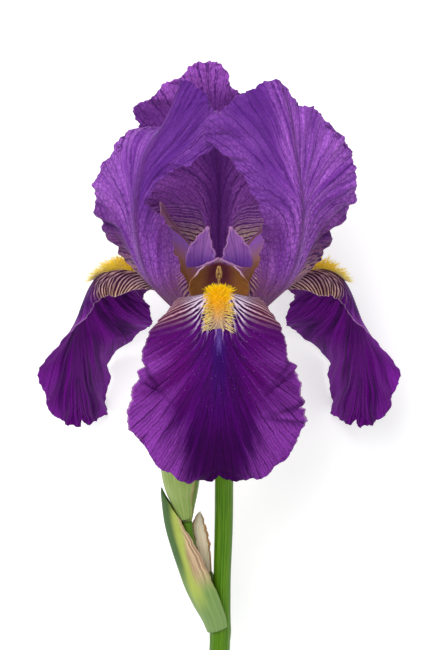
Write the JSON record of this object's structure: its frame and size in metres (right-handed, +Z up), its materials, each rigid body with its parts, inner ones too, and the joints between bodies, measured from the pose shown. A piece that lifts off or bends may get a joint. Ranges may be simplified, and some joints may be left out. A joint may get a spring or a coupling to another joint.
{
  "type": "bearded iris flower",
  "caption": "Cut bearded iris bloom lying on its back: ruffled upright standards, hanging falls with bristly beards, petal-like style arms, and a green stem with a side bud and bracts.",
  "frame": {"origin": "on the surface that the flower lies on, below the middle of its bounding box", "axes": "+X to the right of the front fall, +Y along the surface from the cut end towards the head, +Z up"},
  "size_m": [0.1234, 0.2264, 0.1137],
  "materials": {
    "fall": "velvety deep violet petal, striped on its haft",
    "standard": "satin mid-purple petal with darker veins",
    "beard": "orange-yellow hairs, paler towards the tip of the beard",
    "style": "satin mauve, golden-brown beneath",
    "stamen": "matt cream",
    "tube": "smooth green",
    "stem": "smooth green with fine lengthwise lines",
    "bud": "smooth pale green",
    "leaf": "pale green leaf with a papery edge",
    "dry_leaf": "dry buff paper-like bract"
  },
  "bodies": {
    "root": {"fall_front": "fall", "fall_left": "fall", "fall_right": "fall", "standard_left": "standard", "standard_right": "standard", "standard_back": "standard", "beard_front": "beard", "beard_left": "beard", "beard_right": "beard", "style_arm_front": "style", "style_arm_left": "style", "style_arm_right": "style", "stamen_front": "stamen", "stamen_left": "stamen", "stamen_right": "stamen", "ovary_and_tube": "tube", "spathe_left": "leaf", "spathe_right": "leaf", "stem": "stem", "bud_stalk": "stem", "bud": "bud", "bud_valve": "bud", "bract": "leaf", "bract_dry": "dry_leaf"}
  },
  "joints": []
}
